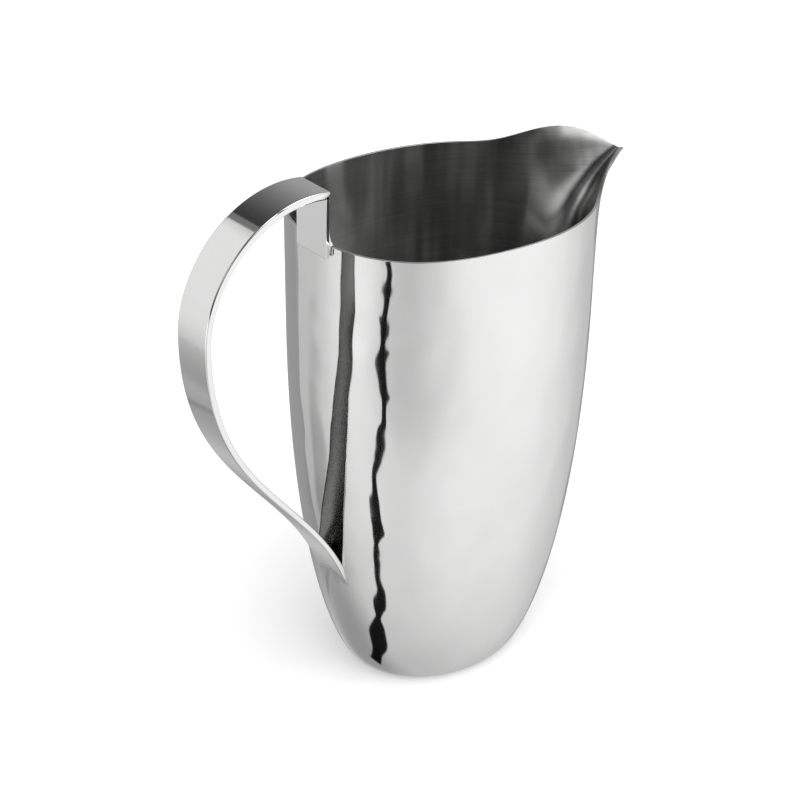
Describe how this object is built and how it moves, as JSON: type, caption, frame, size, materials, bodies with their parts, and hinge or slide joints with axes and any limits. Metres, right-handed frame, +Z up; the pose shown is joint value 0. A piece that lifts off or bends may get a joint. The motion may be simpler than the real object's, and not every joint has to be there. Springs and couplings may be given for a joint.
{
  "type": "pouring pitcher",
  "caption": "Oval pouring pitcher of polished sheet steel, with a pulled pointed spout, a flat welded base and a flat strap handle bent in a sweep.",
  "frame": {"origin": "centre of the flat oval base, on the face that it stands on", "axes": "+Z up from the base towards the rim, +X towards the spout's tip, with the handle along -X, +Y to the left when looking towards the spout"},
  "size_m": [0.225, 0.1024, 0.2387],
  "materials": {
    "polished_sheet": "mirror polished outside, satin brushed inside",
    "brushed_sheet": "satin",
    "polished_bar": "mirror polished",
    "weld_bead": "ground and polished flush"
  },
  "bodies": {
    "root": {"body_shell": "polished_sheet", "base_disc": "brushed_sheet", "base_seam": "weld_bead", "handle_strap": "polished_bar", "handle_leg": "polished_bar", "leg_weld": "weld_bead", "corner_weld": "weld_bead", "foot_weld": "weld_bead"}
  },
  "joints": []
}
